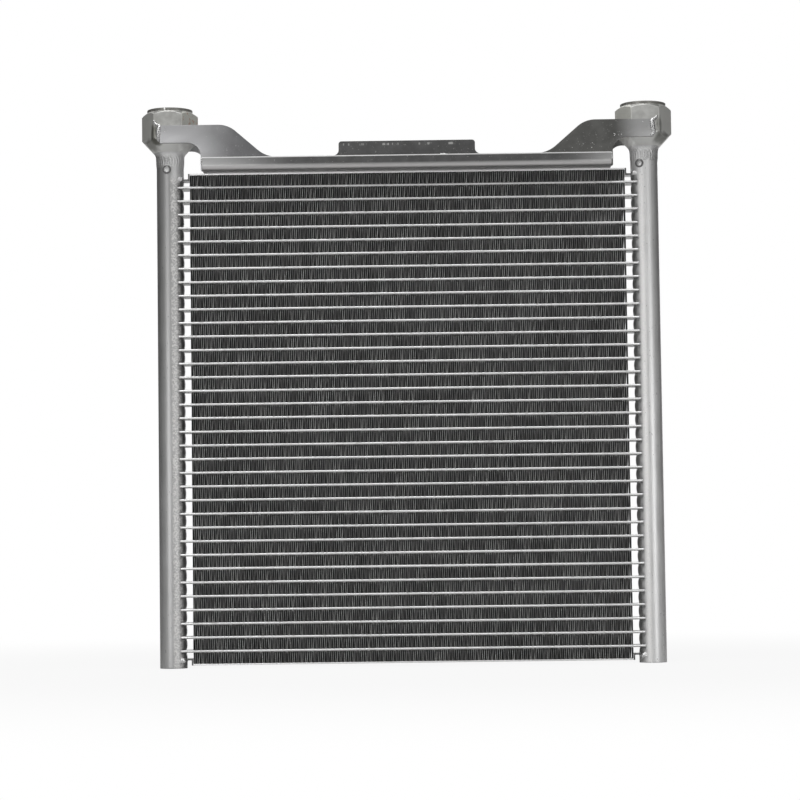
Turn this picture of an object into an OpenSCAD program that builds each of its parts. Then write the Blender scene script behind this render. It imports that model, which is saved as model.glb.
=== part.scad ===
// Hydraulic oil cooler: a brazed aluminium parallel-flow core between two round headers, each
// with a hexagonal port fitting on top, and a folded support channel hung between the fittings.
// Millimetres, +Z up, and the front faces -Y. The origin lies midway between the headers, in the
// plane of their lower ends.

/* [Core] */
// Number of flat oil tubes
tube_count = 35; // [12:1:37]
// Distance from one flat tube to the next
tube_pitch = 10; // [8.5:0.5:14]
// Width of a flat tube, which is also the depth of the core
tube_width = 16; // [12:0.5:16]
// Thickness of a flat tube
tube_thickness = 1.8; // [1.4:0.1:2.6]
// Wall of a flat tube, outside and between its oil channels
tube_wall = 0.35; // [0.25:0.05:0.5]
// Number of oil channels in a flat tube
tube_channels = 9; // [4:1:12]
// Distance from a header's axis to the end of a flat tube inside it
tube_end_distance = 1.5; // [0.5:0.1:2]
// Gap between the ends of the fins and a header
fin_end_gap = 4.9; // [3.5:0.1:10]
// Distance between two legs of the folded fin foil
fin_leg_spacing = 1.57; // [1.2:0.01:2.5]
// Thickness of the fin foil
fin_foil = 0.1; // [0.06:0.01:0.14]
// Legs of the real foil that one drawn leg stands for, with the same metal in all
fin_legs_per_drawn_leg = 4; // [3:1:8]

/* [Side plates] */
// Thickness of the sheet under and over the core
side_plate_thickness = 1.1; // [1:0.1:2.5]
// How far the end of a side plate steps towards the core
side_plate_step = 3.7; // [3:0.1:5]
// Inside radius of the bends of a side plate
side_plate_bend = 0.8; // [0.4:0.1:1.2]
// Width of the tongue that enters the header
tongue_width = 12; // [8:0.5:14]

/* [Headers] */
// Distance between the axes of the headers
header_spacing = 350; // [280:5:450]
// Outside diameter of a header
header_diameter = 20; // [20:0.5:24]
// Wall of a header
header_wall = 1.6; // [1.2:0.1:1.8]
// How far a header reaches below the bottom side plate
header_foot = 2.15; // [1.5:0.05:10]
// Thickness of the cap in a header's lower end
cap_thickness = 1.2; // [0.8:0.1:2]
// Height of the cap's skirt
cap_skirt = 3.2; // [2.5:0.1:3.6]
// Gap that the braze fills between two fitted pieces
braze_gap = 0.05; // [0.02:0.01:0.1]

/* [Test plugs] */
// Height of a test plug above the top side plate
plug_rise = 3.2; // [1:0.1:6]
// Angle of the left test plug from the front, away from the core
left_plug_angle = 9; // [0:1:45]
// Angle of the right test plug from the front, towards the core
right_plug_angle = 24; // [0:1:30]
// Diameter of the test plug's head
plug_head_diameter = 6.4; // [5:0.1:7]
// Diameter of the test plug's shank
plug_shank_diameter = 4; // [3:0.1:4.5]
// How far the head stands out of the header
plug_head_height = 0.6; // [0.3:0.1:1.5]

/* [Port fittings] */
// Width of the hexagon across its flats
hex_flats = 36; // [33:1:46]
// Height of the hexagon with its chamfer
hex_height = 20.6; // [18:0.1:30]
// How far in the chamfer at the hexagon's top corners reaches
hex_chamfer_width = 4; // [2.5:0.1:5]
// How far down the same chamfer reaches
hex_chamfer_height = 3; // [2:0.1:5]
// Diameter of the sealing collar on top
collar_diameter = 33.4; // [30:0.1:36]
// Height of the sealing collar
collar_height = 1.9; // [1:0.1:5]
// Height of the cone under the hexagon
cone_height = 9.5; // [8:0.5:14]
// Wall of the neck around the header's end
neck_wall = 2; // [1.5:0.1:3]
// Height of the neck above the top side plate
neck_rise = 16.2; // [14:0.1:24]
// Step between the header's bore and the narrower bore of the neck
neck_bore_step = 0.4; // [0.2:0.1:1]
// Depth of the socket that takes the header
socket_depth = 6; // [4:0.5:8]
// Diameter of the port's bore at the thread's crests
port_bore_diameter = 24.8; // [18:0.1:27]
// Depth of the port's thread
port_depth = 18; // [12:0.5:19]
// Chamfer at the port's mouth
port_chamfer = 1.2; // [0.5:0.1:1.8]
// Height of the weld ring under the neck
neck_weld_height = 4.4; // [3:0.1:6]

/* [Bracket] */
// Thickness of the folded channel's sheet
channel_sheet = 2; // [1.5:0.1:3]
// Length of the channel
channel_length = 299; // [230:1:310]
// Outside radius of the channel's two folds
channel_fold = 4.5; // [3.5:0.1:6]
// Height of the channel's front flange
channel_front_height = 9.9; // [8:0.1:14]
// Height of the channel's rear flange
channel_rear_height = 16.9; // [12:0.1:20]
// Width of the tab on the rear flange
tab_width = 102; // [80:1:140]
// Height of the tab above the rear flange
tab_rise = 10.5; // [8:0.5:20]
// Radius of the tab's upper corners
tab_radius = 2.2; // [1:0.1:6]
// Radius of the fillets at the tab's foot
tab_foot_radius = 4; // [1:0.1:6]
// Distance between the two mounting holes
tab_hole_spacing = 70; // [40:1:80]
// Diameter of a mounting hole
tab_hole_diameter = 9; // [6.6:0.1:10]
// Height of the mounting holes above the channel's underside
tab_hole_height = 9.9; // [8:0.1:14]
// Thickness of the ears
ear_thickness = 3; // [2:0.1:4]
// How far an ear reaches past the channel's end
ear_overhang = 1.2; // [1:0.1:6]
// How far an ear reaches past a header's axis, on the outside
ear_reach = 5.6; // [3:0.1:8]
// Height of an ear where it crosses the hexagon
ear_neck_height = 13; // [9:0.5:16]
// How far an ear's lower edge lies below the hexagon
ear_drop = 4.6; // [3:0.1:6]
// Radius of the arch between an ear and its header
ear_arch_radius = 10; // [5:0.5:11]
// How far the straight stretch of an ear's top edge runs past the ear's lower corner
ear_shoulder = 12.7; // [4:0.1:40]
// Radius of an ear's lower corner
ear_corner_radius = 1; // [0.5:0.1:2]
// Radius of an ear's round shoulder
ear_shoulder_radius = 19.5; // [10:0.5:24]
// Radius of the fillet that runs out along the channel
ear_fillet_radius = 22; // [10:0.5:26]
// Slope of an ear between its two curves, in degrees
ear_slope = 41; // [30:1:50]
// Width of the weld at an ear's outer end
ear_weld_width = 4.2; // [2:0.1:4.4]
// Part of the step between an ear and the channel's end that the weld there fills
end_weld_fill = 0.85; // [0.5:0.05:0.95]

/* [Hidden] */
$fn = 64;
overcut = 1;
hairline = 0.01;
arc_steps = 10;

header_radius = header_diameter / 2;
header_inner_radius = header_radius - header_wall;
header_x = header_spacing / 2;

fin_height = tube_pitch - tube_thickness;
fin_half_length = header_x - header_radius - fin_end_gap;
drawn_foil = fin_foil * fin_legs_per_drawn_leg;
crest_share = 1 / 4;
drawn_legs = round(2 * fin_half_length / (fin_leg_spacing * fin_legs_per_drawn_leg) - crest_share);
drawn_leg_spacing = 2 * fin_half_length / (drawn_legs + crest_share);
crest_half = crest_share * drawn_leg_spacing / 2;

bottom_plate_z = header_foot + side_plate_thickness / 2;
first_fin_z = header_foot + side_plate_thickness + fin_height / 2;
first_tube_z = first_fin_z + tube_pitch / 2;
top_plate_z = first_fin_z + tube_count * tube_pitch + (fin_height + side_plate_thickness) / 2;
core_top_z = top_plate_z + side_plate_thickness / 2;

neck_z = core_top_z + neck_rise;
hex_z = neck_z + cone_height;
collar_z = hex_z + hex_height;
top_z = collar_z + collar_height;
neck_radius = header_radius + braze_gap + neck_wall;
hex_corner_radius = hex_flats / 2 / cos(30);
flow_radius = header_inner_radius - neck_bore_step;
header_top_z = neck_z + socket_depth - braze_gap;

channel_half = channel_length / 2;
channel_inner_width = hex_flats + 2 * ear_thickness;
channel_width = channel_inner_width + 2 * channel_sheet;
channel_floor_z = core_top_z + channel_sheet;
channel_front_top_z = core_top_z + channel_front_height;
channel_rear_top_z = core_top_z + channel_rear_height;
tab_top_z = channel_rear_top_z + tab_rise;

tube_numbers = [for (i = [1 : tube_count]) i];
fin_third = ceil((tube_count + 1) / 3);

function two_digits(i) = i < 10 ? str("0", i) : str(i);
function tube_name(i) = str("flat_tube_", two_digits(i));
function arc(centre, radius, from, to) = [
    for (i = [0 : arc_steps])
        let (a = from + (to - from) * i / arc_steps)
            centre + radius * [cos(a), sin(a)]
];

// ---- Outlines shared by several pieces ----

// A flat bar with round edges, width along X and thickness along Y.
module round_edged_bar(width, thickness) {
    straight = width - thickness;
    square([straight, thickness], center = true);
    for (side = [-1, 1])
        translate([side * straight / 2, 0]) circle(d = thickness);
}

// Lays a 2D outline drawn in Y and Z along +X.
module along_x(length) {
    rotate([90, 0, 90]) linear_extrude(height = length) children();
}

// Lays a 2D outline drawn in X and Z into the depth, from near to far along Y.
module into_depth(near, far) {
    translate([0, far, 0]) rotate([90, 0, 0]) linear_extrude(height = far - near) children();
}

// Puts a child that is drawn at X = 0, with the core on its +X side, at the left or right header.
module at_header(side) {
    if (side < 0) translate([-header_x, 0, 0]) children();
    else translate([header_x, 0, 0]) mirror([1, 0, 0]) children();
}

// ---- Core ----

module flat_tube(i) {
    straight = tube_width - tube_thickness;
    channel_pitch = (straight + tube_wall) / tube_channels;
    length = header_spacing - 2 * tube_end_distance;
    color("gainsboro")
        translate([-length / 2, 0, first_tube_z + (i - 1) * tube_pitch])
            along_x(length)
                difference() {
                    round_edged_bar(tube_width, tube_thickness);
                    for (k = [0 : tube_channels - 1])
                        translate([(k + 0.5) * channel_pitch - (straight + tube_wall) / 2, 0])
                            square([channel_pitch - tube_wall, tube_thickness - 2 * tube_wall],
                                   center = true);
                }
}

// The folded foil, seen from the front: its crests lie flat against the tubes above and below.
function crest_x(i) = (i - drawn_legs / 2) * drawn_leg_spacing;
function foil_side(upper) = [
    for (i = [0 : drawn_legs])
        let (
            points_up = i % 2 == 0,
            outer = points_up == upper,
            half = outer ? crest_half : crest_half - drawn_foil / 2,
            z = (points_up ? 1 : -1) * (fin_height / 2 - (outer ? 0 : drawn_foil))
        )
            each [[crest_x(i) - half, z], [crest_x(i) + half, z]]
];
function reversed(list) = [for (i = [len(list) - 1 : -1 : 0]) list[i]];

module fin_strip(k) {
    translate([0, 0, first_fin_z + k * tube_pitch])
        into_depth(-tube_width / 2, tube_width / 2)
            polygon(concat(foil_side(true), reversed(foil_side(false))));
}

module fin_strips(first, last) {
    color("dimgray")
        for (k = [first : last]) fin_strip(k);
}

// A side plate: flat over the fins, with both ends stepped towards the core and into the headers.
// toward is +1 where the core lies above the plate and -1 where it lies below.
module side_plate(toward, z) {
    step_x = fin_half_length + braze_gap;
    tip_x = header_x - tube_end_distance;
    half = side_plate_thickness / 2;
    color("silver")
        difference() {
            into_depth(-tube_width / 2, tube_width / 2)
                translate([0, z])
                    scale([1, toward])
                        offset(r = -side_plate_bend) offset(delta = side_plate_bend)
                            side_plate_outline(step_x, tip_x, half);
            for (x = [-1, 1], y = [-1, 1])
                translate([x * (step_x + side_plate_thickness + header_x) / 2,
                           y * (tongue_width + tube_width) / 4, z + toward * side_plate_step])
                    cube([header_x - step_x - side_plate_thickness,
                          (tube_width - tongue_width) / 2 + hairline, 2 * side_plate_thickness],
                         center = true);
        }
}

module side_plate_outline(step_x, tip_x, half) {
    translate([-step_x - side_plate_thickness, -half])
        square([2 * (step_x + side_plate_thickness), 2 * half]);
    for (side = [-1, 1]) {
        translate([side * (step_x + half) - half, -half])
            square([2 * half, side_plate_step + 2 * half]);
        translate([side > 0 ? step_x : -tip_x, side_plate_step - half])
            square([tip_x - step_x, 2 * half]);
    }
}

// ---- Headers ----

module header_pipe(side) {
    color("darkgray")
        at_header(side)
            difference() {
                cylinder(r = header_radius, h = header_top_z);
                translate([0, 0, -overcut])
                    cylinder(r = header_inner_radius, h = header_top_z + 2 * overcut);
                for (i = tube_numbers)
                    translate([0, 0, first_tube_z + (i - 1) * tube_pitch])
                        along_x(header_radius + overcut)
                            round_edged_bar(tube_width + 2 * braze_gap,
                                            tube_thickness + 2 * braze_gap);
                for (z = [bottom_plate_z + side_plate_step, top_plate_z - side_plate_step])
                    translate([0, -tongue_width / 2 - braze_gap,
                               z - side_plate_thickness / 2 - braze_gap])
                        cube([header_radius + overcut, tongue_width + 2 * braze_gap,
                              side_plate_thickness + 2 * braze_gap]);
                plug_axis(side)
                    cylinder(d = plug_shank_diameter + 2 * braze_gap, h = header_radius + overcut);
            }
}

// A cup pressed into the header's lower end, open downwards.
module end_cap(side) {
    color("silver")
        at_header(side)
            difference() {
                cylinder(r = header_inner_radius - braze_gap, h = cap_skirt);
                translate([0, 0, -overcut])
                    cylinder(r = header_inner_radius - braze_gap - cap_thickness,
                             h = cap_skirt - cap_thickness + overcut);
            }
}

// The axis of a test plug, from the header's axis outwards.
module plug_axis(side) {
    turn = side < 0 ? -left_plug_angle : right_plug_angle;
    translate([0, 0, core_top_z + plug_rise])
        rotate([0, 0, -90 + turn]) rotate([0, 90, 0]) children();
}

module test_plug(side) {
    color("silver")
        at_header(side)
            difference() {
                plug_axis(side)
                    union() {
                        cylinder(d = plug_head_diameter, h = header_radius + plug_head_height);
                        cylinder(d = plug_shank_diameter, h = header_radius);
                    }
                difference() {
                    translate([0, 0, core_top_z - plug_head_diameter])
                        cylinder(r = header_radius, h = 3 * plug_head_diameter);
                    plug_axis(side)
                        translate([0, 0, header_inner_radius])
                            cylinder(d = plug_shank_diameter, h = header_radius);
                }
            }
}

// ---- Port fittings ----

module port_fitting(side) {
    color("silver")
        at_header(side)
            difference() {
                union() {
                    intersection() {
                        translate([0, 0, neck_z])
                            cylinder(r = hex_corner_radius, h = cone_height + hex_height, $fn = 6);
                        turned_blank();
                    }
                    translate([0, 0, collar_z])
                        cylinder(d = collar_diameter, h = collar_height);
                }
                translate([0, 0, neck_z - overcut])
                    cylinder(r = header_radius + braze_gap, h = socket_depth + overcut);
                translate([0, 0, neck_z])
                    cylinder(r = flow_radius, h = top_z - neck_z);
                translate([0, 0, top_z - port_depth])
                    cylinder(d = port_bore_diameter, h = port_depth + overcut);
                translate([0, 0, top_z - port_chamfer])
                    cylinder(d1 = port_bore_diameter, d2 = port_bore_diameter + 2 * port_chamfer,
                             h = port_chamfer);
            }
}

// The bar stock as turned: a cone below, clear of the hexagon, and chamfered at the top. Both
// slopes run on past the hexagon's corners, so they meet its flats in clean arcs.
module turned_blank() {
    past = overcut;
    cone_slope = cone_height / (hex_corner_radius - neck_radius);
    chamfer_slope = hex_chamfer_height / hex_chamfer_width;
    rotate_extrude()
        polygon([[0, neck_z], [neck_radius, neck_z],
                 [hex_corner_radius + past, hex_z + past * cone_slope],
                 [hex_corner_radius + past, collar_z - hex_chamfer_height - past * chamfer_slope],
                 [hex_corner_radius - hex_chamfer_width, collar_z], [0, collar_z]]);
}

module neck_weld(side) {
    color("lightgray")
        at_header(side)
            rotate_extrude()
                polygon([[header_radius, neck_z - neck_weld_height], [neck_radius, neck_z],
                         [header_radius, neck_z]]);
}

// ---- Bracket ----

// An open-topped U in Y and Z, with round lower corners.
module u_outline(width, height, radius) {
    translate([-width / 2, radius]) square([width, height - radius]);
    translate([-width / 2 + radius, 0]) square([width - 2 * radius, 2 * radius]);
    for (side = [-1, 1])
        translate([side * (width / 2 - radius), radius]) circle(r = radius);
}

module support_channel() {
    tall = channel_rear_height + tab_rise;
    color("darkgray")
        difference() {
            translate([-channel_half, 0, core_top_z])
                along_x(channel_length)
                    difference() {
                        u_outline(channel_width, tall, channel_fold);
                        translate([0, channel_sheet])
                            u_outline(channel_inner_width, tall, channel_fold - channel_sheet);
                        translate([-channel_width, channel_front_height])
                            square([channel_width, tall]);
                    }
            into_depth(0, channel_width) rear_flange_cutaway();
            for (side = [-1, 1])
                translate([side * tab_hole_spacing / 2, 0, core_top_z + tab_hole_height])
                    rotate([-90, 0, 0])
                        cylinder(d = tab_hole_diameter, h = channel_width);
        }
}

// What is cut off the tall rear flange on both sides of the tab, in X and Z.
module rear_flange_cutaway() {
    for (side = [-1, 1])
        scale([side, 1])
            polygon(concat(
                [[channel_half + overcut, tab_top_z + overcut], [tab_width / 2 - tab_radius,
                 tab_top_z + overcut]],
                arc([tab_width / 2 - tab_radius, tab_top_z - tab_radius], tab_radius, 90, 0),
                arc([tab_width / 2 + tab_foot_radius, channel_rear_top_z + tab_foot_radius],
                    tab_foot_radius, 180, 270),
                [[channel_half + overcut, channel_rear_top_z]]
            ));
}

// An ear's outline in X and Z: X runs from the header's axis towards the middle of the cooler.
module ear_outline() {
    bottom = hex_z - ear_drop;
    top = bottom + ear_neck_height;
    tail_top = channel_front_top_z;
    channel_end_x = header_x - channel_half;
    edge_x = channel_end_x - ear_overhang;
    shoulder_x = edge_x + ear_shoulder;
    bend_top_z = channel_floor_z + channel_fold - channel_sheet;
    radii = ear_shoulder_radius + ear_fillet_radius;
    slope_drop = top - tail_top - radii * (1 - cos(ear_slope));
    tail_x = shoulder_x + radii * sin(ear_slope) + slope_drop / tan(ear_slope);
    polygon(concat(
        [[-ear_reach, bottom], [-ear_reach, top]],
        arc([shoulder_x, top - ear_shoulder_radius], ear_shoulder_radius, 90, 90 - ear_slope),
        arc([tail_x, tail_top + ear_fillet_radius], ear_fillet_radius, 270 - ear_slope, 270),
        [[tail_x, bend_top_z],
         [channel_end_x - braze_gap, bend_top_z],
         [channel_end_x - braze_gap, core_top_z]],
        arc([edge_x + ear_corner_radius, core_top_z + ear_corner_radius], ear_corner_radius,
            270, 180),
        arc([edge_x - ear_arch_radius, bottom - ear_arch_radius], ear_arch_radius, 0, 90)
    ));
}

// front is -1 for the ears on the front flats and +1 for those on the rear flats.
module ear(side, front) {
    near = hex_flats / 2;
    color("darkgray")
        at_header(side)
            if (front < 0) into_depth(-near - ear_thickness, -near) ear_outline();
            else into_depth(near, near + ear_thickness) ear_outline();
}

// The two fillet welds, front and rear, between the ears' outer ends and a fitting.
module ear_welds(side) {
    flat_y = hex_flats / 2;
    bottom = hex_z - ear_drop;
    start = max(bottom, hex_z);
    color("lightgray")
        at_header(side)
            for (front = [-1, 1])
                translate([0, 0, start])
                    linear_extrude(height = bottom + ear_neck_height - start)
                        polygon([[-ear_reach, front * flat_y],
                                 [-ear_reach - ear_weld_width, front * flat_y],
                                 [-ear_reach, front * (flat_y + ear_thickness)]]);
}

// The four fillet welds between the channel's ends and the ears' faces.
module channel_end_welds() {
    face_y = channel_inner_width / 2;
    color("lightgray")
        for (side = [-1, 1], front = [-1, 1])
            translate([0, 0, core_top_z + channel_fold])
                linear_extrude(height = channel_front_height - channel_fold)
                    polygon([[side * channel_half, front * face_y],
                             [side * (channel_half + end_weld_fill * ear_overhang),
                              front * face_y],
                             [side * channel_half,
                              front * (face_y + end_weld_fill * channel_sheet)]]);
}

// ---- Nodes ----

header_pipe(-1);  // left_header_pipe
header_pipe(1);  // right_header_pipe
end_cap(-1);  // left_end_cap
end_cap(1);  // right_end_cap
port_fitting(-1);  // left_port_fitting
port_fitting(1);  // right_port_fitting
neck_weld(-1);  // left_neck_weld
neck_weld(1);  // right_neck_weld
test_plug(-1);  // left_test_plug
test_plug(1);  // right_test_plug
side_plate(-1, top_plate_z);  // top_side_plate
side_plate(1, bottom_plate_z);  // bottom_side_plate
support_channel();
ear(-1, -1);  // front_left_ear
ear(1, -1);  // front_right_ear
ear(-1, 1);  // rear_left_ear
ear(1, 1);  // rear_right_ear
ear_welds(-1);  // left_ear_welds
ear_welds(1);  // right_ear_welds
channel_end_welds();
fin_strips(0, fin_third - 1);  // fin_strips_lower
fin_strips(fin_third, 2 * fin_third - 1);  // fin_strips_middle
fin_strips(2 * fin_third, tube_count);  // fin_strips_upper
for (i = tube_numbers)
    flat_tube(i);
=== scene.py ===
import math
import random

import bmesh
import bpy
from mathutils import Matrix, Vector, noise


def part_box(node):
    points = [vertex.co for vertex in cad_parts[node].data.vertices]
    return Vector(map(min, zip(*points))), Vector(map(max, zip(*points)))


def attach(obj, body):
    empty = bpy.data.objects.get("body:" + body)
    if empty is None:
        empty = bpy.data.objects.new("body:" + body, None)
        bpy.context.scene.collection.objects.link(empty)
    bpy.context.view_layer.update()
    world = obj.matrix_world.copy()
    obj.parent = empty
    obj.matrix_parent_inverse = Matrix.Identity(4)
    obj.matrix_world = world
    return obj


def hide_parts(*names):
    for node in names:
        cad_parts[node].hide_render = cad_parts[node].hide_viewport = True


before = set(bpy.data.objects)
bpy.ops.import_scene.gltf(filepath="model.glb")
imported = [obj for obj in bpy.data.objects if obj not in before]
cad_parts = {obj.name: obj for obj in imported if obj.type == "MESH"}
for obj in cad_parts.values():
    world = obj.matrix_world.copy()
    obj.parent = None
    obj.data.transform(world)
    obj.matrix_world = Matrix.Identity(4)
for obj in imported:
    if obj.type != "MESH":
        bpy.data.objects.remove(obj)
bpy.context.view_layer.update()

MM = 0.001

# ------------------------------------------------------------
# The room: a white floor that keeps the cooler's shadow, a white surround, and soft lamps in
# front of the cooler and above it. The camera stands low in front and looks slightly upwards.
# ------------------------------------------------------------
scene = bpy.context.scene
scene.view_settings.view_transform = "Standard"

camera_data = bpy.data.cameras.new("camera")
camera_data.sensor_width = 36.0
camera_data.lens = 116.15
camera_data.clip_end = 20.0
camera = bpy.data.objects.new("camera", camera_data)
scene.collection.objects.link(camera)
camera_place = (0.006, -1.893, 0.075)
camera_yaw = math.radians(-0.404)
camera_pitch = math.radians(3.603)
camera_roll = math.radians(-0.744)
camera.matrix_world = (
    Matrix.Translation(camera_place)
    @ Matrix.Rotation(-camera_yaw, 4, "Z")
    @ Matrix.Rotation(math.pi / 2 + camera_pitch, 4, "X")
    @ Matrix.Rotation(camera_roll, 4, "Z")
)
scene.camera = camera


class Field:
    """A value or a colour that varies over a surface, as the socket that gives it."""

    def __init__(self, tree, socket):
        self.tree = tree
        self.socket = socket

    def _math(self, operation, other=None, swapped=False):
        inputs = [self.socket] if other is None else [self.socket, getattr(other, "socket", other)]
        if swapped:
            inputs.reverse()
        return add_node(self.tree, "ShaderNodeMath", {"operation": operation}, inputs)

    def __add__(self, other):
        return self._math("ADD", other)

    def __sub__(self, other):
        return self._math("SUBTRACT", other)

    def __rsub__(self, other):
        return self._math("SUBTRACT", other, swapped=True)

    def __mul__(self, other):
        return self._math("MULTIPLY", other)

    def __gt__(self, other):
        return self._math("GREATER_THAN", other)

    def __lt__(self, other):
        return self._math("LESS_THAN", other)

    def __abs__(self):
        return self._math("ABSOLUTE")

    __radd__ = __add__
    __rmul__ = __mul__

    def floor(self):
        return self._math("FLOOR")

    def output(self, name):
        return Field(self.tree, self.socket.node.outputs[name])

    def between(self, low, high):
        """0 below low and 1 above high, smooth in the middle. low may be the larger one."""
        settings = {"interpolation_type": "SMOOTHSTEP"}
        inputs = {"Value": self.socket, "From Min": low, "From Max": high}
        return add_node(self.tree, "ShaderNodeMapRange", settings, inputs)


def add_node(tree, kind, settings=None, inputs=None, output=0):
    """Adds a shader node, sets its settings, then fills its sockets with values or links."""
    made = tree.nodes.new(kind)
    for name, value in (settings or {}).items():
        setattr(made, name, value)
    pairs = inputs.items() if isinstance(inputs, dict) else enumerate(inputs or [])
    for key, value in pairs:
        value = getattr(value, "socket", value)
        if isinstance(value, bpy.types.NodeSocket):
            tree.links.new(value, made.inputs[key])
        else:
            made.inputs[key].default_value = value
    return Field(tree, made.outputs[output]) if made.outputs else made


world = bpy.data.worlds.new("studio")
world.use_nodes = True
scene.world = world
room_tree = world.node_tree
room_tree.nodes.clear()
seen_by_camera = add_node(room_tree, "ShaderNodeLightPath")
direction = add_node(room_tree, "ShaderNodeTexCoord")
to_the_rear = add_node(room_tree, "ShaderNodeSeparateXYZ", inputs=[direction]).output("Y")
brightness = to_the_rear.between(0.5, -1.0) * 0.36 + 0.11
surround = {"Color": (1, 1, 0.99, 1), "Strength": brightness}
soft_grey = add_node(room_tree, "ShaderNodeBackground", inputs=surround)
backdrop = {"Color": (1, 1, 1, 1), "Strength": 1.0}
plain_white = add_node(room_tree, "ShaderNodeBackground", inputs=backdrop)
room = add_node(room_tree, "ShaderNodeMixShader", inputs=[seen_by_camera, soft_grey, plain_white])
add_node(room_tree, "ShaderNodeOutputWorld", inputs={"Surface": room})


def soft_lamp(name, place, size, watts, height=None):
    """A rectangular lamp that faces the middle of the cooler."""
    data = bpy.data.lights.new(name, "AREA")
    data.shape = "RECTANGLE"
    data.size = size
    data.size_y = height or size
    data.energy = watts
    lamp = bpy.data.objects.new(name, data)
    scene.collection.objects.link(lamp)
    facing = (COOLER_MIDDLE - Vector(place)).to_track_quat("-Z", "Y")
    lamp.matrix_world = Matrix.Translation(place) @ facing.to_matrix().to_4x4()


COOLER_MIDDLE = Vector((0, 0, 0.2))
soft_lamp("left_lamp", (-0.8, -1.5, 0.27), 0.65, 2.5, 0.5)
soft_lamp("right_lamp", (0.95, -1.45, 0.2), 0.6, 2.0, 0.38)
soft_lamp("top_lamp", (-0.2, -0.5, 1.9), 1.4, 14.0)
soft_lamp("rear_lamp", (-0.4, 1.5, 1.9), 1.4, 5.0)
soft_lamp("low_rear_lamp", (0.7, 1.6, 0.35), 0.7, 2.2)

FLOOR_HALF = 6.0
floor_mesh = bmesh.new()
bmesh.ops.create_grid(floor_mesh, x_segments=1, y_segments=1, size=FLOOR_HALF)
floor_data = bpy.data.meshes.new("floor")
floor_mesh.to_mesh(floor_data)
floor_mesh.free()
floor = bpy.data.objects.new("floor", floor_data)
scene.collection.objects.link(floor)
floor_paint = bpy.data.materials.new("floor_white")
floor_paint.use_nodes = True
floor_tree = floor_paint.node_tree
floor_shader = floor_tree.nodes["Principled BSDF"]
floor_shader.inputs["Base Color"].default_value = (0.66, 0.66, 0.66, 1)
floor_shader.inputs["Roughness"].default_value = 0.9
camera_ray = add_node(floor_tree, "ShaderNodeLightPath")
floor_place = add_node(floor_tree, "ShaderNodeTexCoord").output("Object")
length = {"operation": "LENGTH"}
from_cooler = add_node(floor_tree, "ShaderNodeVectorMath", length, [floor_place], "Value")
white = add_node(floor_tree, "ShaderNodeEmission", inputs=backdrop)
whitened = camera_ray * (from_cooler.between(0.25, 0.9) * 0.10 + 0.90)
layers = [whitened, floor_shader.outputs["BSDF"], white]
floor_surface = add_node(floor_tree, "ShaderNodeMixShader", inputs=layers)
floor_tree.links.new(floor_surface.socket, floor_tree.nodes["Material Output"].inputs["Surface"])
floor_data.materials.append(floor_paint)

# ------------------------------------------------------------
# Headers: drawn aluminium tubes that stand at both sides of the core. The slots for the flat
# tubes are pierced one by one, which leaves a dome between each two slots, and the furnace that
# brazes the core leaves the tube a satin grey with faint lengthwise streaks.
# ------------------------------------------------------------
HEADER_WALL = 1.6 * MM
HEADER_FACETS = 96
HEADER_RING_STEP = 1.2 * MM
FOOT_CHAMFER = 0.3 * MM
SLOT_DIMPLE = 1.15 * MM
SLOT_HALF_ANGLE = math.radians(55)
SLOT_BLEND_ANGLE = math.radians(9)
SAME_PLACE = 0.001 * MM
TUBE_COUNT = len([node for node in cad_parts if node.startswith("flat_tube_")])
CORE_SIDE = {"left": 1, "right": -1}


def tube_box(number):
    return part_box(f"flat_tube_{number:02d}")


first_tube_z = (tube_box(1)[0].z + tube_box(1)[1].z) / 2
last_tube_z = (tube_box(TUBE_COUNT)[0].z + tube_box(TUBE_COUNT)[1].z) / 2
tube_pitch = (last_tube_z - first_tube_z) / (TUBE_COUNT - 1)
tube_thickness = tube_box(1)[1].z - tube_box(1)[0].z
core_depth = tube_box(1)[1].y - tube_box(1)[0].y
fin_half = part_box("fin_strips_lower")[1].x


def header_axis(side):
    low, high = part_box(f"{side}_header_pipe")
    return (low.x + high.x) / 2


def header_radius():
    low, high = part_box("left_header_pipe")
    return (high.x - low.x) / 2


def toward_core(x):
    """How far a place lies from its header's axis, counted towards the core."""
    return header_axis("right") - abs(x)


def new_finish(name, colour, roughness, metallic=1.0):
    """A metal finish, as its node tree, its shader and the place on the object."""
    finish = bpy.data.materials.new(name)
    finish.use_nodes = True
    tree = finish.node_tree
    shader = tree.nodes["Principled BSDF"]
    shader.inputs["Base Color"].default_value = (*colour, 1)
    shader.inputs["Roughness"].default_value = roughness
    shader.inputs["Metallic"].default_value = metallic
    place = add_node(tree, "ShaderNodeTexCoord").output("Object")
    return finish, tree, shader, place


def axes(tree, place):
    """A place's X, Y and Z."""
    x = add_node(tree, "ShaderNodeSeparateXYZ", None, [place])
    return x, x.output("Y"), x.output("Z")


def vector_math(tree, operation, *inputs, output="Vector"):
    return add_node(tree, "ShaderNodeVectorMath", {"operation": operation}, inputs, output)


def grain(tree, place, size, stretch=(1, 1, 1), detail=3.0):
    """Noise from 0 to 1, with grains of about that size in metres, drawn out along an axis."""
    drawn_out = tuple(1 / (size * amount) for amount in stretch)
    scaled = vector_math(tree, "MULTIPLY", place, drawn_out)
    inputs = {"Vector": scaled, "Scale": 1.0, "Detail": detail}
    return add_node(tree, "ShaderNodeTexNoise", None, inputs)


def grey(level):
    return (level, level, level)


def blend_colour(tree, amount, start, end):
    start = start if isinstance(start, Field) else (*start, 1)
    end = end if isinstance(end, Field) else (*end, 1)
    inputs = {0: amount, 6: start, 7: end}
    return add_node(tree, "ShaderNodeMix", {"data_type": "RGBA"}, inputs, output=2)


def feed(tree, shader, **sockets):
    for name, value in sockets.items():
        tree.links.new(value.socket, shader.inputs[name.replace("_", " ")])


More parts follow.
